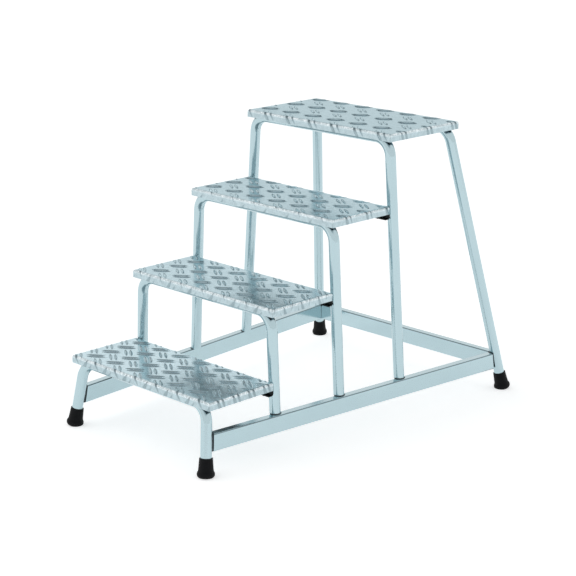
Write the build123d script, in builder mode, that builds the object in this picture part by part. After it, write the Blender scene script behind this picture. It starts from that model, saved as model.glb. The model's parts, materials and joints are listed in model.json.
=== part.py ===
"""Aluminium machine steps: four checker-plate treads on bent-tube hoops, with base rails and rubber feet.

Millimetres. X runs across the steps, Y from the front to the back, Z up from the floor. The origin is on the
floor, in the middle of the stand's box.
"""
import os
from typing import NamedTuple

from build123d import *

# Steps
step_count = 4
rise = 200
going = 224
lowest_tread_front = -537

# Treads, folded from checker plate
tread_width = 560
top_tread_depth = 288
sheet = 3
fold_radius = 6
flange_height = 22
rear_fold_height = 36
rear_fold_lip = 18
rear_fold_inset = 1.5
corner_gap = 1

# Raised bars of the checker plate: pairs that slant both ways by turns
bar_length = 54
bar_width = 8
bar_height = 2.5
bar_spacing = 13.5
bar_stagger = 5
bar_slant = 36
# Pitch of the pairs of one slant across and along each tread, whose plates are rolled ever longer going up
pair_pitches = {1: (84, 54), 2: (86, 65), 3: (87, 80), 4: (88, 106)}
# A pair on each tread: its place across from the middle, and back from the front face
first_pairs = {1: (27, 39), 2: (42, 49), 3: (12, 57), 4: (20, 58)}

# Bent tubes
tube_radius = 15
tube_wall = 2
bend_radius = 50
front_corner_half_width = 249
step_corner_half_widths = {2: 258, 3: 266, 4: 262}
rear_corner_half_width = 257
tilted_hoop_gap = 1.5

# Stance: where the front and rear leg axes meet the floor
base_length = 1088
front_foot_half_width = 271
rear_foot_half_width = 376

# Rails of rectangular tube, whose ends are hollowed to follow the legs
rail_width = 24
rail_height = 48
rail_wall = 2
rail_corner = 3
rail_bottom = 62.5
rail_setback = 6
rear_joint_setback = 14
rear_joint_inset = 7
joint_gap = 5
step_leg_inset = 11

# Rubber feet, measured along the leg from the floor
foot_top = 50
foot_rim_radius = 17.8
foot_neck = 22
foot_neck_radius = 19.9
foot_flare = 15.5
foot_flare_radius = 21.3
foot_bulge = 8.5
foot_bulge_radius = 23.75
foot_underreach = 2.75
foot_under_radius = 12.5
foot_floor = 11
foot_clearance = 0.1
washer_thickness = 2
washer_radius = 14.6
washer_hole_radius = 5

# Welds
bead = 2.5
joint_weld_setback = 1.5
stitch_near = 4
stitch_far = 14
stitch_length = 30
stitch_spacing = 90
stitch_count = 5
rear_stitch_length = 20

# Worked out from the above
crossbar_inset = sheet + tube_radius
tread_depth = going + crossbar_inset - tube_radius
rail_top = rail_bottom + rail_height
rail_middle = rail_bottom + rail_height / 2
leg_end = foot_floor + washer_thickness
sides = {"left": -1, "right": 1}
up = Vector(0, 0, 1)


def tread_front(step):
    """Y of a tread's front face."""
    return lowest_tread_front + (step - 1) * going


def depth_of(step):
    """The top tread is the deeper one. The others reach back to the next hoop's legs."""
    return top_tread_depth if step == step_count else tread_depth


def crossbar(step):
    """Y and Z of the crossbar's axis under a tread, in the corner of the top and the front flange.

    The lowest hoop leans, so its crossbar stands a little further back, and its bends clear the flange.
    """
    gap = tilted_hoop_gap if step == 1 else 0
    return tread_front(step) + crossbar_inset + gap, step * rise - crossbar_inset


def at_height(low, high, z):
    """The point at height z on the line through low and high."""
    return low + (high - low) * ((z - low.Z) / (high.Z - low.Z))


def on_side(point, sign):
    """A right-hand point, or its mirror image on the left."""
    return Vector(sign * point.X, point.Y, point.Z)


class Leg(NamedTuple):
    """Axis of a leg that stands on the floor: its foot, its upper corner and the middle of its rail joint."""

    foot: Vector
    corner: Vector
    joint: Vector

    @property
    def direction(self):
        return (self.corner - self.foot).normalized()


def floor_leg(half_width, y, corner):
    """The right-hand leg from a point on the floor up to a corner."""
    foot = Vector(half_width, y, 0)
    return Leg(foot, corner, at_height(foot, corner, rail_middle))


def leg_on_side(leg, sign):
    """A right-hand leg, or its mirror image on the left."""
    return Leg(*(on_side(point, sign) for point in leg))


# The rear crossbar lies under the back of the top tread, in front of its rear flange
rear_crossbar_y = tread_front(step_count) + top_tread_depth - crossbar_inset - tilted_hoop_gap
rear_crossbar_z = step_count * rise - crossbar_inset

front_corner = Vector(front_corner_half_width, *crossbar(1))
rear_corner = Vector(rear_corner_half_width, rear_crossbar_y, rear_crossbar_z)
legs = {
    "front": floor_leg(front_foot_half_width, -base_length / 2, front_corner),
    "rear": floor_leg(rear_foot_half_width, base_length / 2, rear_corner),
}


class RailEnd(NamedTuple):
    """The leg that a rail meets, the point where its centre line ends, and how far short of that it stops."""

    leg: Leg
    point: Vector
    setback: float


def side_rail(sign):
    """Front and rear end of a side rail. The rear end lies inside the leg's axis and clears the rear rail."""
    front, rear = leg_on_side(legs["front"], sign), leg_on_side(legs["rear"], sign)
    rear_point = rear.joint - Vector(sign * rear_joint_inset, 0, 0)
    return RailEnd(front, front.joint, rail_setback), RailEnd(rear, rear_point, rear_joint_setback)


def rear_rail():
    """Left and right end of the rear rail."""
    left, right = leg_on_side(legs["rear"], -1), legs["rear"]
    return RailEnd(left, left.joint, rail_setback), RailEnd(right, right.joint, rail_setback)


def step_leg(step):
    """Lower end, on the side rail's top, and upper corner of a step hoop's right leg axis."""
    y, z = crossbar(step)
    start, end = (rail_end.point for rail_end in side_rail(1))
    rail = start + (end - start) * ((y - start.Y) / (end.Y - start.Y))
    return Vector(rail.X - step_leg_inset, y, rail_top), Vector(step_corner_half_widths[step], y, z)


def checker_bar():
    """Outline of one raised bar: two arcs that meet in a point at each end."""
    with BuildSketch() as outline:
        with BuildLine():
            left, right = (-bar_length / 2, 0), (bar_length / 2, 0)
            SagittaArc(left, right, bar_width / 2)
            SagittaArc(right, left, bar_width / 2)
        make_face()
    return outline.sketch


def checker_pair(slant):
    """Two bars side by side that slant up (1) or down (-1), one a little further along than the other."""
    bar = checker_bar()
    along, aside = slant * bar_stagger / 2, bar_spacing / 2
    with BuildSketch() as pair:
        with Locations((-along, aside), (along, -aside)):
            add(bar)
    return pair.sketch


def nearest_place(place, pitch, target):
    """The place nearest to a target in a row of places at a pitch."""
    return place + pitch * round((target - place) / pitch)


def make_tread(step):
    """A tray of checker plate, open below. All but the top one have a deeper rear fold with a forward lip."""
    top, front, depth = step * rise, tread_front(step), depth_of(step)
    middle, rear = front + depth / 2, front + depth
    first_x, first_y = first_pairs[step]
    pitch_x, pitch_y = pair_pitches[step]
    pair_x = nearest_place(first_x, pitch_x, 0)
    pair_y = nearest_place(front + first_y, pitch_y, middle)
    columns = 2 * int(tread_width / 2 / pitch_x) + 3
    rows = 2 * int(depth / 2 / pitch_y) + 3
    with BuildPart() as tread:
        with BuildSketch(Plane.XY.offset(top)):
            with Locations((0, middle)):
                Rectangle(tread_width, depth)
        extrude(amount=-flange_height)
        fillet(tread.faces().sort_by(Axis.Z)[-1].edges(), radius=fold_radius)
        offset(amount=-sheet, openings=tread.faces().sort_by(Axis.Z)[0])
        # Open seams where the side flanges meet the front and rear ones
        with BuildSketch(Plane.XY.offset(top - flange_height)):
            with Locations((0, middle)):
                with GridLocations(tread_width - sheet, depth - 2 * sheet - corner_gap, 2, 2):
                    Rectangle(sheet, corner_gap)
        extrude(amount=flange_height - fold_radius, mode=Mode.SUBTRACT)
        if step < step_count:
            fold_half = tread_width / 2 - rear_fold_inset
            fold_y, fold_z = rear - sheet / 2, top - rear_fold_height + sheet / 2
            with BuildSketch(Plane.YZ.offset(-fold_half)):
                with BuildLine():
                    FilletPolyline(
                        (fold_y, top - flange_height),
                        (fold_y, fold_z),
                        (rear - rear_fold_lip, fold_z),
                        radius=fold_radius - sheet / 2,
                    )
                trace(line_width=sheet)
            extrude(amount=2 * fold_half)
        # Raised bars on the flat of the top
        with BuildSketch(Plane.XY.offset(top)):
            for slant, shift in ((1, 0), (-1, 0.5)):
                pair = checker_pair(slant)
                with Locations((pair_x + shift * pitch_x, pair_y + shift * pitch_y)):
                    with GridLocations(pitch_x, pitch_y, columns, rows):
                        add(pair, rotation=slant * bar_slant)
            with Locations((0, middle)):
                Rectangle(tread_width - 2 * fold_radius, depth - 2 * fold_radius, mode=Mode.INTERSECT)
        extrude(amount=bar_height)
    return tread


def make_hoop(base, corner):
    """One tube bent twice: up the left leg, across and down the right leg."""
    left_base, left_corner = on_side(base, -1), on_side(corner, -1)
    with BuildPart() as hoop:
        with BuildLine():
            FilletPolyline(left_base, left_corner, corner, base, radius=bend_radius)
        with BuildSketch(Plane(origin=left_base, z_dir=left_corner - left_base)):
            Circle(tube_radius)
            Circle(tube_radius - tube_wall, mode=Mode.SUBTRACT)
        sweep()
    return hoop


def make_floor_hoop(leg):
    """A hoop whose legs end square inside the rubber feet."""
    return make_hoop(leg.foot + leg.direction * leg_end, leg.corner)


def make_step_hoop(step):
    """A hoop whose legs are cut level, to stand on the side rails."""
    base, corner = step_leg(step)
    whole = make_hoop(at_height(base, corner, rail_bottom), corner)
    with BuildPart() as hoop:
        add(whole.part)
        split(bisect_by=Plane.XY.offset(rail_top), keep=Keep.TOP)
    return hoop


def round_leg(leg, radius):
    """A round bar along the lower part of a leg's axis."""
    with BuildPart() as bar:
        with BuildSketch(Plane(origin=leg.foot, z_dir=leg.direction)):
            Circle(radius)
        extrude(amount=2 * rail_top)
    return bar.part


def rail_section(start, end):
    """Plane across a rail's start that looks towards its end."""
    run = end.point - start.point
    return Plane(origin=start.point + run.normalized() * start.setback, x_dir=run.cross(up), z_dir=run)


def make_rail(start, end):
    """A rectangular tube between two legs, with its ends hollowed to follow the legs at a small gap."""
    length = (end.point - start.point).length - start.setback - end.setback
    with BuildPart() as rail:
        with BuildSketch(rail_section(start, end)):
            RectangleRounded(rail_width, rail_height, rail_corner)
            Rectangle(rail_width - 2 * rail_wall, rail_height - 2 * rail_wall, mode=Mode.SUBTRACT)
        extrude(amount=length)
        for rail_end in (start, end):
            add(round_leg(rail_end.leg, tube_radius + joint_gap), mode=Mode.SUBTRACT)
    return rail


def make_foot(leg):
    """A rubber foot turned about its leg's axis: tapered sleeve, flared base and a flat cut at the floor."""
    side = up.cross(leg.direction).normalized()
    bore = tube_radius + foot_clearance
    rim = (foot_rim_radius, foot_top)
    neck = (foot_neck_radius, foot_neck)
    flare = (foot_flare_radius, foot_flare)
    bulge = (foot_bulge_radius, foot_bulge)
    under = (foot_under_radius, -foot_underreach)
    with BuildPart() as rubber:
        with BuildSketch(Plane(origin=leg.foot, x_dir=side, z_dir=side.cross(leg.direction))):
            with BuildLine():
                sleeve = Line(rim, neck)
                TangentArc(neck, flare, tangent=sleeve % 1)
                ThreePointArc(flare, bulge, under)
                Polyline(under, (0, -foot_underreach), (0, foot_floor), (bore, foot_floor))
                Polyline((bore, foot_floor), (bore, foot_top), rim)
            make_face()
        revolve(axis=Axis(leg.foot, leg.direction))
        split(bisect_by=Plane.XY, keep=Keep.TOP)
    return rubber


def make_washer(leg):
    """A steel disc under the tube's end, inside the foot."""
    with BuildPart() as washer:
        with BuildSketch(Plane(origin=leg.foot + leg.direction * foot_floor, z_dir=leg.direction)):
            Circle(washer_radius)
            Circle(washer_hole_radius, mode=Mode.SUBTRACT)
        extrude(amount=washer_thickness)
    return washer


def make_stitch(plane, length):
    """Weld in the wedge between a tube and the flat sheet that it touches.

    The plane is square to the tube, at its axis, with its x towards the sheet and its y towards the weld. The
    weld lies between two lines through the tube's axis, the tube and the sheet.
    """
    with BuildPart() as stitch:
        with BuildSketch(plane):
            Polygon((0, 0), (tube_radius, stitch_near), (tube_radius, stitch_far), align=None)
            Circle(tube_radius, mode=Mode.SUBTRACT)
        extrude(amount=length / 2, both=True)
    return stitch.part


def make_joint_weld(start, end):
    """Weld that fills the gap between a leg and a rail's hollowed start, just below the rail's faces."""
    with BuildPart() as fill:
        with BuildSketch(rail_section(start, end)):
            Rectangle(rail_width - 2 * joint_weld_setback, rail_height - 2 * joint_weld_setback)
        extrude(amount=2 * tube_radius)
        add(round_leg(start.leg, tube_radius + joint_gap), mode=Mode.INTERSECT)
        add(round_leg(start.leg, tube_radius), mode=Mode.SUBTRACT)
    return fill.part


def make_bead(base, corner, inner_face):
    """Fillet weld round a leg's lower end on a rail's top, as far in as the rail's inner face."""
    with BuildPart() as ring:
        with BuildSketch(Plane(origin=base, z_dir=up)):
            Circle(tube_radius + bead)
        extrude(amount=bead, taper=45)
        with BuildSketch(Plane(origin=base, z_dir=corner - base)):
            Circle(tube_radius)
        extrude(amount=tube_radius, both=True, mode=Mode.SUBTRACT)
        split(bisect_by=inner_face, keep=Keep.TOP)
    return ring.part


def make_group(solids):
    """Separate solids of one kind, kept together as one node."""
    with BuildPart() as group:
        for solid in solids:
            add(solid)
    return group


def make_tread_welds(step):
    """Stitches along the crossbars under a tread, and behind its rear fold on the next hoop's legs."""
    first = -(stitch_count - 1) / 2 * stitch_spacing
    places = [first + number * stitch_spacing for number in range(stitch_count)]
    crossbars = [(crossbar(step), (-1, 0, 0))]
    if step == step_count:
        crossbars.append(((rear_crossbar_y, rear_crossbar_z), (1, 0, 0)))
    stitches = []
    for (y, z), along in crossbars:
        for x in places:
            stitches.append(make_stitch(Plane(origin=(x, y, z), x_dir=up, z_dir=along), stitch_length))
    if step < step_count:
        base, corner = step_leg(step + 1)
        centre = at_height(base, corner, step * rise - rear_fold_height / 2)
        for sign in sides.values():
            leg = on_side(corner - base, sign) * -sign
            plane = Plane(origin=on_side(centre, sign), x_dir=(0, -1, 0), z_dir=leg)
            stitches.append(make_stitch(plane, rear_stitch_length))
    return make_group(stitches)


def make_rail_welds(start, end, standing_legs, inner_face=None):
    """Welds at both ends of a rail, and round the legs that stand on it."""
    solids = [make_joint_weld(start, end), make_joint_weld(end, start)]
    for base, corner in standing_legs:
        solids.append(make_bead(base, corner, inner_face))
    return make_group(solids)


def write(piece, node):
    """Names one finished piece and writes it as its own node."""
    piece.part.label = node
    export_step(piece.part, f"parts/{node}.step")


os.makedirs("parts", exist_ok=True)
steps_on_rails = range(2, step_count + 1)

for step in range(1, step_count + 1):
    write(make_tread(step), f"tread_{step}")
    write(make_tread_welds(step), f"tread_{step}_welds")

for step in steps_on_rails:
    write(make_step_hoop(step), f"step_hoop_{step}")
for end, leg in legs.items():
    write(make_floor_hoop(leg), f"{end}_hoop")

for side, sign in sides.items():
    front, rear = side_rail(sign)
    outwards = (rear.point - front.point).cross(up).normalized() * sign
    inner_face = Plane(origin=front.point - outwards * (rail_width / 2), z_dir=outwards)
    standing_legs = [[on_side(point, sign) for point in step_leg(step)] for step in steps_on_rails]
    write(make_rail(front, rear), f"{side}_rail")
    write(make_rail_welds(front, rear, standing_legs, inner_face), f"{side}_rail_welds")
    for end, leg in (("front", front.leg), ("rear", rear.leg)):
        write(make_foot(leg), f"{end}_{side}_foot")
        write(make_washer(leg), f"{end}_{side}_foot_washer")

write(make_rail(*rear_rail()), "rear_rail")
write(make_rail_welds(*rear_rail(), []), "rear_rail_welds")
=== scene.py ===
import json
import math

import bpy
import numpy as np
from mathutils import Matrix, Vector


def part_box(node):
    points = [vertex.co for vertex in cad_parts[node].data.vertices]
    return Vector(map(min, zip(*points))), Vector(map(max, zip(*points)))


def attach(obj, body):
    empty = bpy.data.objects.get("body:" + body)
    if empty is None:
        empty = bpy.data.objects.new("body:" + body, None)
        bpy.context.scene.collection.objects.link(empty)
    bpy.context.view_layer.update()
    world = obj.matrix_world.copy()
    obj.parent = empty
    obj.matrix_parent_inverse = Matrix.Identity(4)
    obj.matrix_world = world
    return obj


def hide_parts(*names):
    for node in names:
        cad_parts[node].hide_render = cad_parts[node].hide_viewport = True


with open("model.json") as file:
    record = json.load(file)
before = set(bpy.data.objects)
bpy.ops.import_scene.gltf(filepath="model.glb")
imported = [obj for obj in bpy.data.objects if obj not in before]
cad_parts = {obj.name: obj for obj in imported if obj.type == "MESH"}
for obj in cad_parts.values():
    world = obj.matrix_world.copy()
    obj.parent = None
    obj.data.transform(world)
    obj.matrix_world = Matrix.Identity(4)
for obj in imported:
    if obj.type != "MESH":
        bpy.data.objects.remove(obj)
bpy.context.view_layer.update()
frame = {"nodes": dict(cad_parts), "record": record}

# Folded checker plate, in metres
SHEET = 0.003
FOLD_RADIUS = 0.006
FLANGE_HEIGHT = 0.022
REAR_FOLD_HEIGHT = 0.036
REAR_FOLD_LIP = 0.018
SEAM_GAP = 0.0005
# Way round a fold's quarter turn, along the outer skin
QUARTER = FOLD_RADIUS * math.pi / 2

# Raised bars: pairs that slant both ways by turns
BAR_LENGTH = 0.054
BAR_WIDTH = 0.008
BAR_HEIGHT = 0.0025
BAR_SPACING = 0.0135
BAR_STAGGER = 0.005
BAR_SLANT = math.radians(36)
# The two families of pairs: which way they slant, and their shift in pitches
BAR_FAMILIES = ((1, 0), (-1, 0.5))
# Half width left at a bar's tips, so that nothing is divided by zero
TIP_HALF_WIDTH = 1e-9
# Pitch of one family's pairs across and along each tread
PAIR_PITCH = {1: (0.084, 0.054), 2: (0.086, 0.065), 3: (0.087, 0.080), 4: (0.088, 0.106)}
# A pair on each tread: its place across from the middle, and back from the front face
FIRST_PAIRS = {1: (0.027, 0.039), 2: (0.042, 0.049), 3: (0.012, 0.057), 4: (0.020, 0.058)}
# The folding press flattens the bars to this share, over this distance from a fold, and draws them out
# down a flange, so that only this share of the way down counts in the pattern
FOLDED_BAR_SHARE = 0.45
PRESSED_REACH = 0.012
DRAWN_SHARE = 0.5

# Grid of a plate: largest side of the top's cells, and how many of them lie along one of the underside's
PLATE_CELL = 0.0016
UNDERSIDE_STRIDE = 3
# Places on a plate that are nearer than this are one place
HAIR = 1e-6
# Faces that meet at more than this angle have a sharp edge between them
SHARP_ANGLE = math.radians(50)

# Heights of the lowest tread and the platform, between which a painted shade greys the flats and a
# painted highlight brightens the bars
PAINTED_TONE_SPAN = (0.2, 0.8)
# Distances inside and beyond a bar's foot over which its colour changes
FOOT_SPAN = (-0.006, 0.004)
# Distances past the edge of a tread's flat over which a painted highlight lies on the fold and painted
# shade then darkens the flange
BEND_SPAN = (-0.003, 0.017)
# How far the painted shade along the folds reaches over the underside, where it counts up to 1, and the
# count inside the rear fold, painted black for the shade where no light reaches
SHELTER_REACH = 0.025
REAR_CHANNEL = 2.0
# Height of the rounded edges of the rails, along which a dark reflection is painted
RAIL_EDGE = 0.003
# Range that most of a noise lies in
NOISE_SPAN = (0.3, 0.7)
# Sockets of a Mix node for colours, whose names aren't unique
MIX_SHARE, MIX_FIRST, MIX_SECOND, MIX_RESULT = 0, 6, 7, 2
WHITE = (1, 1, 1)
BLACK = (0, 0, 0)

# Floor: half its side in metres, its colour, and its glow where it is seen or mirrored
FLOOR_REACH = 40.0
FLOOR_COLOUR = (0.8, 0.8, 0.8, 1)
FLOOR_GLOW = 0.56
# Brightness of the sky as light, and for the rays that show it
SKY_LIGHT = 0.5
SKY_SHOWN = {"Is Camera Ray": 1.0, "Is Glossy Ray": 0.95, "Is Transmission Ray": 0.95}
# Panels of the studio: azimuth from +X and elevation of their middle, where their soft edge starts and
# ends, all in degrees, and how dark each is against the darkest shade
PANELS = (
    (-45, 60, 24, 34, 0.62),
    (135, 60, 22, 32, 0.62),
)
PANEL_SHADE = (0.16, 0.24, 0.27, 1)
# Lamps: name, turn from shining along +Y, elevation and spread in degrees, and strength
LAMPS = (
    ("key", -60, 48, 80, 0.9),
    ("fill", 160, 50, 80, 0.25),
)
# Camera: sensor and lens in millimetres, place in metres, and in degrees its tilt up from looking straight
# down and its turn from looking along +Y
SENSOR_WIDTH = 36
LENS = 104.68
CAMERA_PLACE = (3.2462, -3.2122, 1.6434)
CAMERA_TILT = 74.0636
CAMERA_TURN = 45.0947


def folded_edge(run, under, flange):
    """Section of a sheet past the edge of its flat: a quarter turn down, a straight flange, then a quarter
    turn back under the flat and a straight lip.

    run is the distance along the outer skin from the flat's edge, under the depth below that skin. Both
    turns have the fold radius less that depth. Returns the way out, the drop, and the normal's outward and
    upward parts.
    """
    radius = FOLD_RADIUS - under
    first = np.clip(run / FOLD_RADIUS, 0, math.pi / 2)
    down = np.clip(run - QUARTER, 0, flange)
    second = np.clip((run - QUARTER - flange) / FOLD_RADIUS, 0, math.pi / 2)
    back = np.maximum(run - 2 * QUARTER - flange, 0)
    out = radius * (np.sin(first) + np.cos(second) - 1) - back
    drop = FOLD_RADIUS - radius * np.cos(first) + down + radius * np.sin(second)
    return out, drop, np.sin(first + second), np.cos(first + second)


class Section:
    """Section through a tray along one axis: its flat, with a fold and a flange at both ends.

    Places on it are measured along the outer skin, and on the flat they equal x or y. A lip, where there is
    one, comes after a second fold at the far end.
    """

    def __init__(self, low, high, flanges, lip=0):
        self.flat = (low + FOLD_RADIUS, high - FOLD_RADIUS)
        self.fold = (self.flat[0] - QUARTER, self.flat[1] + QUARTER)
        self.flanges = flanges
        near, far = self.fold[0] - flanges[0], self.fold[1] + flanges[1]
        ends = [near, self.fold[0], *self.flat, self.fold[1], far]
        if lip:
            ends += [far + QUARTER, far + QUARTER + lip]
        self.places = self.spread_places(ends)

    @staticmethod
    def spread_places(ends):
        """Places evenly spread between each two ends, at most one plate cell apart.

        Each run has a whole number of the underside's cells.
        """
        runs = []
        for start, end in zip(ends, ends[1:]):
            count = UNDERSIDE_STRIDE * math.ceil((end - start) / PLATE_CELL / UNDERSIDE_STRIDE)
            runs.append(np.linspace(start, end, count, endpoint=False))
        return np.append(np.concatenate(runs), ends[-1])

    def from_fold(self):
        """How far each place lies inside the nearer edge of the flat, negative past that edge."""
        return np.minimum(self.places - self.flat[0], self.flat[1] - self.places)

    def on_flange(self, places):
        """Whether each of some places lies past the end of a fold."""
        return (places < self.fold[0] - HAIR) | (places > self.fold[1] + HAIR)

    def cells_on_flange(self):
        """Whether the middle between each two places lies past the end of a fold."""
        return self.on_flange((self.places[1:] + self.places[:-1]) / 2)

    def pattern(self):
        """Where each place lies on the bars' pattern.

        Past the flat's edge the pattern goes on by the fold radius times the sine of the angle turned, and
        then by a share of the way down the flange.
        """
        on_flat = np.clip(self.places, *self.flat)
        past = np.abs(self.places - on_flat)
        way = FOLD_RADIUS * np.sin(np.clip(past / FOLD_RADIUS, 0, math.pi / 2))
        way = way + DRAWN_SHARE * np.maximum(past - QUARTER, 0)
        return on_flat + np.sign(self.places - on_flat) * way

    def skin(self, under):
        """The skin at a depth below the outer one: the flat's places, moved out by both folded edges.

        Returns the place, the drop and the normal's parts along the section and upwards.
        """
        near = folded_edge(self.flat[0] - self.places, under, self.flanges[0])
        far = folded_edge(self.places - self.flat[1], under, self.flanges[1])
        place = np.clip(self.places, *self.flat) + far[0] - near[0]
        drop = near[1] + far[1] - under
        return place, drop, far[2] - near[2], near[3] + far[3] - 1


def bar_relief(across, along, first_pair, pitch):
    """Share of the full bar height over a plate, and the distance beyond the nearest bar's foot.

    Each family of pairs repeats on a lattice, so a point is measured from its nearest pair. In a bar's own
    axes, the half width narrows as one minus the square of the way to the tip, and the height is a squared
    cosine of the way out to that width, lower towards the tips. The distance is what is left of the way out
    past the half width, plus the way past the tip.
    """
    relief = np.zeros(np.broadcast(across, along).shape)
    foot = np.full(relief.shape, FOOT_SPAN[1])
    level, slope = math.cos(BAR_SLANT), math.sin(BAR_SLANT)
    for slant, shift in BAR_FAMILIES:
        off_x = (across - first_pair[0]) / pitch[0] - shift
        off_y = (along - first_pair[1]) / pitch[1] - shift
        off_x = (off_x - np.round(off_x)) * pitch[0]
        off_y = (off_y - np.round(off_y)) * pitch[1]
        lengthways = level * off_x + slant * slope * off_y
        sideways = level * off_y - slant * slope * off_x
        for side in (-1, 1):
            tip = 2 * (lengthways + slant * side * BAR_STAGGER / 2) / BAR_LENGTH
            room = np.clip(1 - tip * tip, 0, 1)
            way_out = np.abs(sideways - side * BAR_SPACING / 2)
            half_width = BAR_WIDTH / 2 * room
            edge = np.clip(way_out / (half_width + TIP_HALF_WIDTH), 0, 1)
            relief = np.maximum(relief, np.cos(math.pi / 2 * edge) ** 2 * np.sqrt(room))
            past_tip = np.maximum(np.abs(tip) - 1, 0) * BAR_LENGTH / 2
            foot = np.minimum(foot, way_out - half_width + past_tip)
    return relief, np.maximum(foot, FOOT_SPAN[0])


def tray_skin(across, along, top, under):
    """Points and normals of a tray's skin at a depth below the outer one.

    The sections across and along give one grid, whose point lies at the larger of their two drops and has
    that section's normal. The ends of the side flanges stand back from the folds by the seam's gap.
    """
    x, drop_x, lean_x, rise_x = across.skin(under)
    y, drop_y, lean_y, rise_y = along.skin(under)
    drop = np.maximum(drop_x[None, :], drop_y[:, None])
    ruled_by_y = drop_y[:, None] > drop_x[None, :]
    normals = np.stack((
        np.where(ruled_by_y, 0, lean_x[None, :]),
        np.where(ruled_by_y, lean_y[:, None], 0),
        np.where(ruled_by_y, rise_y[:, None], rise_x[None, :]),
    ), -1)
    front_end, rear_end = (np.isclose(along.places, end) for end in along.fold)
    inwards = front_end * 1.0 - rear_end
    seam = inwards[:, None] * across.on_flange(across.places)[None, :] * SEAM_GAP
    points = np.stack((
        np.broadcast_to(x[None, :], drop.shape),
        y[:, None] + seam,
        top - drop,
    ), -1)
    return points, normals


def coarse(grid):
    """The rows and columns of a top's grid that the underside has too."""
    return grid[::UNDERSIDE_STRIDE, ::UNDERSIDE_STRIDE]


def grid_cells(corner, keep):
    """The kept cells of a grid of point numbers, each as its four corners in turn."""
    return np.stack((corner[:-1, :-1], corner[:-1, 1:], corner[1:, 1:], corner[1:, :-1]), -1)[keep]


def closed_sheet(name, outer, inner, keep):
    """Mesh of a sheet from a fine outer skin and a coarse inner one.

    It has the kept cells of both, joined by a rim. The inner skin's points stand under every few rows and
    columns of the outer one's. The rim has one face for each edge that only one kept inner cell has, and
    that face takes in the outer points along the edge. Returns the mesh, the numbers of the points that it
    uses, and how many of its faces are outer ones.
    """
    corner = np.arange(outer.shape[0] * outer.shape[1]).reshape(outer.shape[:2])
    above = coarse(corner)
    cells = grid_cells(corner, keep)
    inner_cells = grid_cells(above, coarse(keep))
    starts, ends = inner_cells.ravel(), np.roll(inner_cells, -1, axis=1).ravel()
    lone = ~np.isin(starts * corner.size + ends, ends * corner.size + starts)
    starts, ends = starts[lone, None], ends[lone, None]
    steps = np.arange(UNDERSIDE_STRIDE, -1, -1)
    along_edge = starts + (ends - starts) // UNDERSIDE_STRIDE * steps
    below = np.zeros(corner.size, dtype=int)
    below[above.ravel()] = corner.size + np.arange(above.size)
    rim = np.concatenate((along_edge, below[starts], below[ends]), axis=1)
    groups = [cells, below[inner_cells][:, ::-1], rim]
    used = np.unique(np.concatenate([group.ravel() for group in groups]))
    faces = []
    for group in groups:
        faces += np.searchsorted(used, group).tolist()
    points = np.concatenate((outer.reshape(-1, 3), inner.reshape(-1, 3)))[used]
    mesh = bpy.data.meshes.new(name)
    mesh.from_pydata(points, [], faces)
    return mesh, used, len(cells)


def make_tread(step, top_finish, underside_finish):
    """A folded tray of checker plate, whose bars stand out along the skin's normal.

    Its rear flange, where it is deep, turns back into a lip. Where two flanges meet, the corner is open.
    """
    node = f"tread_{step}"
    low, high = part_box(node)
    top = high.z - BAR_HEIGHT
    deep_rear = top - low.z > (FLANGE_HEIGHT + REAR_FOLD_HEIGHT) / 2
    flange = FLANGE_HEIGHT - FOLD_RADIUS
    across = Section(low.x, high.x, (flange, flange))
    if deep_rear:
        rear_flange = REAR_FOLD_HEIGHT - 2 * FOLD_RADIUS
        along = Section(low.y, high.y, (flange, rear_flange), REAR_FOLD_LIP - FOLD_RADIUS)
    else:
        along = Section(low.y, high.y, (flange, flange))

    from_side, from_end = across.from_fold()[None, :], along.from_fold()[:, None]
    from_fold = np.minimum(from_side, from_end)
    first_pair = (FIRST_PAIRS[step][0], low.y + FIRST_PAIRS[step][1])
    pattern_x, pattern_y = across.pattern()[None, :], along.pattern()[:, None]
    relief, foot = bar_relief(pattern_x, pattern_y, first_pair, PAIR_PITCH[step])
    pressed = FOLDED_BAR_SHARE + (1 - FOLDED_BAR_SHARE) * np.clip(from_fold / PRESSED_REACH, 0, 1)
    folded_twice = (from_side < 0) & (from_end < 0)
    raised = relief * ~folded_twice * pressed * BAR_HEIGHT

    outer, normals = tray_skin(across, along, top, 0)
    inner, _ = tray_skin(across, along, top, SHEET)
    open_corner = across.cells_on_flange()[None, :] & along.cells_on_flange()[:, None]
    mesh, used, outer_faces = closed_sheet(
        f"{node}_plate", outer + normals * raised[..., None], coarse(inner), ~open_corner)

    # Painted shade of the underside: grey near the folds, black inside the rear fold
    shelter = np.clip(1 - from_fold / SHELTER_REACH, 0, 1)
    if deep_rear:
        shelter[along.places > along.fold[1] + HAIR] = REAR_CHANNEL
    # bend tells where each fold's painted highlight and its flange's painted shade fall
    bend = np.clip(-from_fold, *BEND_SPAN)
    for name, numbers in (("foot", foot), ("shelter", shelter), ("bend", bend)):
        stored = np.concatenate((numbers.ravel(), coarse(numbers).ravel()))[used]
        mesh.attributes.new(name, "FLOAT", "POINT").data.foreach_set("value", stored)
    mesh.materials.append(top_finish)
    mesh.materials.append(underside_finish)
    inside = np.arange(len(mesh.polygons)) >= outer_faces
    mesh.polygons.foreach_set("material_index", inside.astype(np.int32))
    mesh.polygons.foreach_set("use_smooth", np.ones(len(mesh.polygons), dtype=bool))
    mesh.update()
    mesh.set_sharp_from_angle(angle=SHARP_ANGLE)
    plate = bpy.data.objects.new(f"{node}_plate", mesh)
    bpy.context.scene.collection.objects.link(plate)
    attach(plate, "root")
    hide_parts(node)


def grey(level):
    """A shade of plain grey."""
    return (level, level, level)


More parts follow.
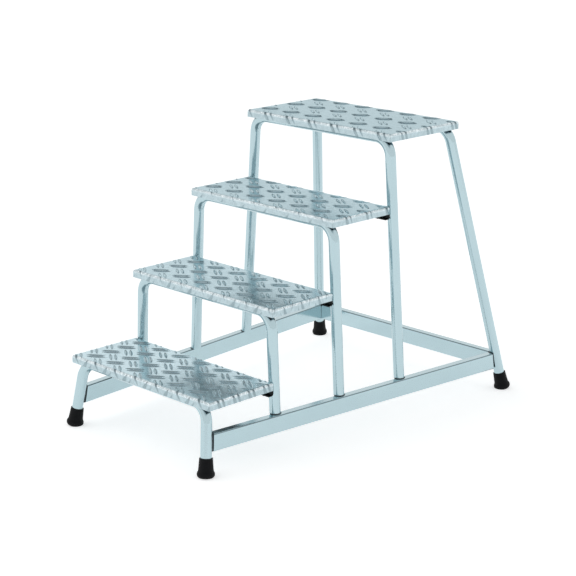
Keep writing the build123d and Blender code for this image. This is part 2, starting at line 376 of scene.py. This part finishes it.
class Finish:
    """A material with a Principled shader and the nodes that feed it."""

    def __init__(self, name, metallic):
        self.material = bpy.data.materials.new(name)
        self.material.use_nodes = True
        self.tree = self.material.node_tree
        self.shader = self.tree.nodes["Principled BSDF"]
        self.shader.inputs["Metallic"].default_value = metallic
        self.coordinates = self.tree.nodes.new("ShaderNodeTexCoord").outputs["Object"]

    def link(self, source, target):
        """Feeds a socket from another node's socket."""
        self.tree.links.new(source, target)

    def noise(self, scale, detail=3, roughness=0.5, along_x=1):
        """Noise on Object coordinates, drawn out along X where along_x is below 1."""
        mapping = self.tree.nodes.new("ShaderNodeMapping")
        mapping.inputs["Scale"].default_value = (along_x, 1, 1)
        self.link(self.coordinates, mapping.inputs["Vector"])
        noise = self.tree.nodes.new("ShaderNodeTexNoise")
        noise.inputs["Scale"].default_value = scale
        noise.inputs["Detail"].default_value = detail
        noise.inputs["Roughness"].default_value = roughness
        self.link(mapping.outputs["Vector"], noise.inputs["Vector"])
        return noise.outputs["Fac"]

    def height(self):
        """Height above the floor."""
        parts = self.tree.nodes.new("ShaderNodeSeparateXYZ")
        self.link(self.coordinates, parts.inputs["Vector"])
        return parts.outputs["Z"]

    def attribute(self, name):
        """A number stored with the piece's points."""
        stored = self.tree.nodes.new("ShaderNodeAttribute")
        stored.attribute_name = name
        return stored.outputs["Fac"]

    def spread(self, source, start, end, low=0, high=1):
        """A value that goes from low to high while the source goes from start to end."""
        spread = self.tree.nodes.new("ShaderNodeMapRange")
        for name, value in (("From Min", start), ("From Max", end), ("To Min", low), ("To Max", high)):
            spread.inputs[name].default_value = value
        self.link(source, spread.inputs["Value"])
        return spread.outputs["Result"]

    def shades(self, source, *stops):
        """A colour along a ramp of (place, colour) stops."""
        ramp = self.tree.nodes.new("ShaderNodeValToRGB")
        elements = ramp.color_ramp.elements
        while len(elements) < len(stops):
            elements.new(0.5)
        for element, (place, colour) in zip(elements, stops):
            element.position = place
            element.color = (*colour, 1)
        self.link(source, ramp.inputs["Fac"])
        return ramp.outputs["Color"]

    def mottled(self, noise, dark, light):
        """A colour that goes from dark to light over most of a noise."""
        return self.shades(noise, (NOISE_SPAN[0], dark), (NOISE_SPAN[1], light))

    def mix(self, first, second):
        """A node that mixes two colours."""
        mix = self.tree.nodes.new("ShaderNodeMix")
        mix.data_type = "RGBA"
        self.link(first, mix.inputs[MIX_FIRST])
        self.link(second, mix.inputs[MIX_SECOND])
        return mix

    def multiply(self, first, second):
        """Two colours multiplied."""
        mix = self.mix(first, second)
        mix.blend_type = "MULTIPLY"
        mix.inputs[MIX_SHARE].default_value = 1
        return mix.outputs[MIX_RESULT]

    def blend(self, first, second, share):
        """A colour that goes from the first to the second while the share goes from 0 to 1."""
        mix = self.mix(first, second)
        self.link(share, mix.inputs[MIX_SHARE])
        return mix.outputs[MIX_RESULT]

    def colour(self, source):
        """Gives the material its colour."""
        self.link(source, self.shader.inputs["Base Color"])

    def rough(self, noise, low, high):
        """Gives the material a roughness that goes from low to high over most of a noise."""
        self.link(self.spread(noise, *NOISE_SPAN, low, high), self.shader.inputs["Roughness"])

    def bump(self, source, strength, distance):
        """Gives the material small relief."""
        bump = self.tree.nodes.new("ShaderNodeBump")
        bump.inputs["Strength"].default_value = strength
        bump.inputs["Distance"].default_value = distance
        self.link(source, bump.inputs["Height"])
        self.link(bump.outputs["Normal"], self.shader.inputs["Normal"])


def make_checker_plate():
    """Bright rolled plate, with its grain along X.

    Going up, its flats are greyer and its bars brighter, as painted shade and painted highlight.
    A painted shade line runs round each bar's foot. Each fold's crown has a painted highlight, the flange
    below it has painted shade, and bars that run over a fold are painted as dark strokes there.
    """
    plate = Finish("bright checker plate", metallic=1)
    up = plate.spread(plate.height(), *PAINTED_TONE_SPAN)
    past_foot = plate.spread(plate.attribute("foot"), *FOOT_SPAN)
    past_flat = plate.spread(plate.attribute("bend"), *BEND_SPAN)

    # Painted shade and highlight by height: flats greyer and bars brighter going up
    flat = plate.shades(
        up, (0.0, grey(0.9)), (0.33, grey(0.79)), (0.67, grey(0.69)), (1.0, (0.6, 0.61, 0.61)))
    crest = plate.shades(up, (0.0, grey(0.68)), (0.33, grey(0.9)), (0.67, WHITE))
    raised = plate.shades(past_foot, (0.4, WHITE), (0.58, BLACK))
    # Painted shade down each flange below its fold
    flange = plate.shades(past_flat, (0.45, grey(0.91)), (0.8, (0.66, 0.7, 0.71)))
    folded = plate.shades(past_flat, (0.15, BLACK), (0.4, WHITE))
    painted_tone = plate.blend(plate.blend(flat, crest, raised), flange, folded)
    sheet = plate.mottled(plate.noise(scale=9, detail=5), (0.743, 0.869, 0.913), (0.81, 0.935, 0.98))
    specks = plate.noise(scale=85, detail=5, roughness=0.65)
    mottle = plate.shades(specks, (0.38, (0.84, 0.845, 0.85)), (0.62, WHITE))
    sheet_and_painted_tone = plate.multiply(plate.multiply(sheet, painted_tone), mottle)

    # Painted highlight along each fold's crown, broken up by noise
    highlight_breakup = plate.noise(scale=120, roughness=0.6)
    painted_crown_highlight = plate.shades(highlight_breakup, (0.42, (0.52, 0.61, 0.64)), (0.68, (0.9, 0.97, 1)))
    crown = plate.shades(past_flat, (0.16, BLACK), (0.3, WHITE), (0.5, WHITE), (0.78, BLACK))

    # Painted shade: a dark line round each bar's foot
    painted_foot_shade = plate.shades(
        past_foot, (0.0, grey(0.97)), (0.3, (0.95, 0.96, 0.96)), (0.54, (0.64, 0.69, 0.71)),
        (0.62, (0.67, 0.71, 0.73)), (0.74, grey(0.97)), (0.84, WHITE))
    # Painted shade: bars that run over a fold are dark strokes there
    stroke = plate.shades(past_foot, (0.2, (0.22, 0.25, 0.26)), (0.44, (0.36, 0.4, 0.42)), (0.6, WHITE))
    stroked = plate.shades(past_flat, (0.12, BLACK), (0.3, WHITE), (0.55, WHITE), (0.85, grey(0.35)))
    bars = plate.blend(painted_foot_shade, stroke, stroked)

    plate.colour(plate.multiply(plate.blend(sheet_and_painted_tone, painted_crown_highlight, crown), bars))
    plate.rough(plate.noise(scale=60, detail=4, roughness=0.6, along_x=0.15), low=0.15, high=0.22)
    plate.bump(plate.noise(scale=420, roughness=0.6, along_x=0.12), strength=0.05, distance=0.0004)
    plate.shader.inputs["Specular Tint"].default_value = (0.82, 0.95, 0.99, 1)
    return plate.material


def make_plate_underside():
    """The dull underside of the plate, with painted shade: grey along the folds and black inside the rear
    one.
    """
    plate = Finish("dull plate underside", metallic=1)
    sheet = plate.mottled(plate.noise(scale=14, detail=5), (0.72, 0.83, 0.86), (0.78, 0.88, 0.91))
    # Painted shade: grey along the folds, black inside the rear fold
    shelter = plate.spread(plate.attribute("shelter"), 0, REAR_CHANNEL)
    shade = plate.shades(
        shelter, (0.0, WHITE), (0.25, grey(0.9)), (0.5, (0.3, 0.32, 0.34)), (0.75, grey(0.03)))
    plate.colour(plate.multiply(sheet, shade))
    plate.rough(plate.noise(scale=90, detail=4, roughness=0.6, along_x=0.15), low=0.3, high=0.42)
    return plate.material


def satin_aluminium(name):
    """Satin aluminium with no colour linked yet, and the colour of its sheet."""
    satin = Finish(name, metallic=1)
    satin.rough(satin.noise(scale=120, detail=4, roughness=0.6), low=0.13, high=0.18)
    satin.bump(satin.noise(scale=700, detail=2), strength=0.008, distance=0.0003)
    return satin, satin.mottled(satin.noise(scale=7, detail=4), (0.46, 0.597, 0.637), (0.485, 0.622, 0.662))


def make_drawn_tube():
    """Satin drawn tube."""
    tube, sheet = satin_aluminium("satin drawn tube")
    tube.colour(sheet)
    return tube.material


def make_extruded_rail():
    """Satin extruded rectangular tube, with a painted dark reflection along the rounded edges of its top.
    """
    rail, sheet = satin_aluminium("satin extruded rail")
    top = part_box("rear_rail")[1].z
    # Painted dark reflection along the top's rounded edges
    up_edge = rail.spread(rail.height(), top - RAIL_EDGE, top)
    line = (0.45, 0.46, 0.47)
    edge = rail.shades(up_edge, (0.0, WHITE), (0.2, line), (0.75, line), (0.93, WHITE))
    rail.colour(rail.multiply(sheet, edge))
    return rail.material


def make_weld_bead():
    """Weld as laid: rippled and rough, dark with soot and with painted shade of the gaps at its joints."""
    bead = Finish("sooty weld bead with painted shade", metallic=1)
    # Dark from soot, and painted shade of the shaded gaps the welds fill
    bead.colour(bead.mottled(bead.noise(scale=180, detail=4), (0.035, 0.045, 0.052), (0.10, 0.12, 0.13)))
    bead.rough(bead.noise(scale=260), low=0.3, high=0.5)
    bead.bump(bead.noise(scale=350), strength=0.35, distance=0.0008)
    return bead.material


def make_black_rubber():
    """Matt moulded rubber."""
    rubber = Finish("black rubber", metallic=0)
    bloom = rubber.noise(scale=60, detail=5)
    rubber.colour(rubber.mottled(bloom, (0.003, 0.0034, 0.0042), (0.0055, 0.006, 0.0072)))
    rubber.rough(rubber.noise(scale=300, detail=4), low=0.45, high=0.62)
    rubber.bump(rubber.noise(scale=1500), strength=0.12, distance=0.0003)
    rubber.shader.inputs["Specular IOR Level"].default_value = 0.13
    return rubber.material


def make_zinc_washer():
    """Zinc-plated steel."""
    zinc = Finish("zinc-plated steel", metallic=1)
    zinc.colour(zinc.mottled(zinc.noise(scale=90, detail=4), (0.5, 0.52, 0.55), (0.6, 0.62, 0.65)))
    zinc.rough(zinc.noise(scale=200, detail=4), low=0.25, high=0.4)
    return zinc.material


def calculated(tree, operation, *values):
    """Result of a Math node, whose inputs are other nodes' sockets or plain numbers."""
    node = tree.nodes.new("ShaderNodeMath")
    node.operation = operation
    for socket, value in zip(node.inputs, values):
        if isinstance(value, bpy.types.NodeSocket):
            tree.links.new(value, socket)
        else:
            socket.default_value = value
    return node.outputs["Value"]


def make_floor():
    """A wide pale floor. Seen by the camera and in reflections it is white where no shadow falls."""
    corners = np.array(((-1, -1, 0), (1, -1, 0), (1, 1, 0), (-1, 1, 0)), dtype=float) * FLOOR_REACH
    mesh = bpy.data.meshes.new("floor")
    mesh.from_pydata(corners, [], [(0, 1, 2, 3)])
    material = bpy.data.materials.new("pale floor")
    material.use_nodes = True
    tree = material.node_tree
    tree.nodes.clear()
    output = tree.nodes.new("ShaderNodeOutputMaterial")
    matt = tree.nodes.new("ShaderNodeBsdfDiffuse")
    matt.inputs["Color"].default_value = FLOOR_COLOUR
    glow = tree.nodes.new("ShaderNodeEmission")
    both = tree.nodes.new("ShaderNodeAddShader")
    tree.links.new(matt.outputs["BSDF"], both.inputs[0])
    tree.links.new(glow.outputs["Emission"], both.inputs[1])
    tree.links.new(both.outputs["Shader"], output.inputs["Surface"])
    rays = tree.nodes.new("ShaderNodeLightPath").outputs
    shown = 0
    for ray in SKY_SHOWN:
        shown = calculated(tree, "MAXIMUM", shown, rays[ray])
    tree.links.new(calculated(tree, "MULTIPLY", shown, FLOOR_GLOW), glow.inputs["Strength"])
    mesh.materials.append(material)
    floor = bpy.data.objects.new("floor", mesh)
    bpy.context.scene.collection.objects.link(floor)


def panel_darkness(tree, way, azimuth, elevation, start, end, darkness):
    """How dark a panel is along the way looked: a ramp on the cosine of the angle from its middle."""
    turn, height = math.radians(azimuth), math.radians(elevation)
    middle = (math.cos(height) * math.cos(turn), math.cos(height) * math.sin(turn), math.sin(height))
    towards = tree.nodes.new("ShaderNodeVectorMath")
    towards.operation = "DOT_PRODUCT"
    towards.inputs[1].default_value = middle
    tree.links.new(way, towards.inputs[0])
    edge = tree.nodes.new("ShaderNodeMapRange")
    edge.inputs["From Min"].default_value = math.cos(math.radians(end))
    edge.inputs["From Max"].default_value = math.cos(math.radians(start))
    edge.inputs["To Max"].default_value = darkness
    tree.links.new(towards.outputs["Value"], edge.inputs["Value"])
    return edge.outputs["Result"]


def make_world():
    """White for the camera, a little less than white in reflections, and dimmer as light.

    Dark panels, which the camera itself doesn't see, give the metal something to show.
    """
    world = bpy.data.worlds.new("studio")
    bpy.context.scene.world = world
    world.use_nodes = True
    tree = world.node_tree
    background = tree.nodes["Background"]
    way = tree.nodes.new("ShaderNodeTexCoord").outputs["Generated"]
    rays = tree.nodes.new("ShaderNodeLightPath").outputs

    darkest = 0
    for panel in PANELS:
        darkest = calculated(tree, "MAXIMUM", darkest, panel_darkness(tree, way, *panel))
    unseen = calculated(tree, "SUBTRACT", darkest, rays["Is Camera Ray"])
    ramp = tree.nodes.new("ShaderNodeValToRGB")
    ramp.color_ramp.elements[0].color = (*WHITE, 1)
    ramp.color_ramp.elements[1].color = PANEL_SHADE
    tree.links.new(unseen, ramp.inputs["Fac"])
    tree.links.new(ramp.outputs["Color"], background.inputs["Color"])

    strength = SKY_LIGHT
    for ray, brightness in SKY_SHOWN.items():
        strength = calculated(tree, "MULTIPLY_ADD", rays[ray], brightness - SKY_LIGHT, strength)
    tree.links.new(strength, background.inputs["Strength"])


def make_lamp(name, turn, elevation, spread, strength):
    """A wide soft light from far off, the same all over the floor and not mirrored by the metal."""
    light = bpy.data.lights.new(name, "SUN")
    light.energy = strength
    light.angle = math.radians(spread)
    lamp = bpy.data.objects.new(name, light)
    bpy.context.scene.collection.objects.link(lamp)
    lamp.rotation_euler = (math.radians(90 - elevation), 0, math.radians(turn))
    lamp.visible_glossy = False


def make_camera():
    """The photograph's viewpoint: a long lens from the front right, above the top tread."""
    data = bpy.data.cameras.new("camera")
    data.sensor_width = SENSOR_WIDTH
    data.lens = LENS
    camera = bpy.data.objects.new("camera", data)
    bpy.context.scene.collection.objects.link(camera)
    camera.location = CAMERA_PLACE
    camera.rotation_euler = (math.radians(CAMERA_TILT), 0, math.radians(CAMERA_TURN))
    bpy.context.scene.camera = camera


finishes = {
    "checker_plate": make_checker_plate(),
    "tube": make_drawn_tube(),
    "rail": make_extruded_rail(),
    "weld": make_weld_bead(),
    "rubber": make_black_rubber(),
    "washer": make_zinc_washer(),
}
for subpart in frame["record"]["subparts"]:
    carried = frame["nodes"][subpart["node"]]
    carried.data.materials.clear()
    carried.data.materials.append(finishes[subpart["material_slot"]])

plate_underside = make_plate_underside()
for step in PAIR_PITCH:
    make_tread(step, finishes["checker_plate"], plate_underside)

make_floor()
make_world()
for lamp in LAMPS:
    make_lamp(*lamp)
make_camera()
bpy.context.scene.view_settings.view_transform = "Standard"
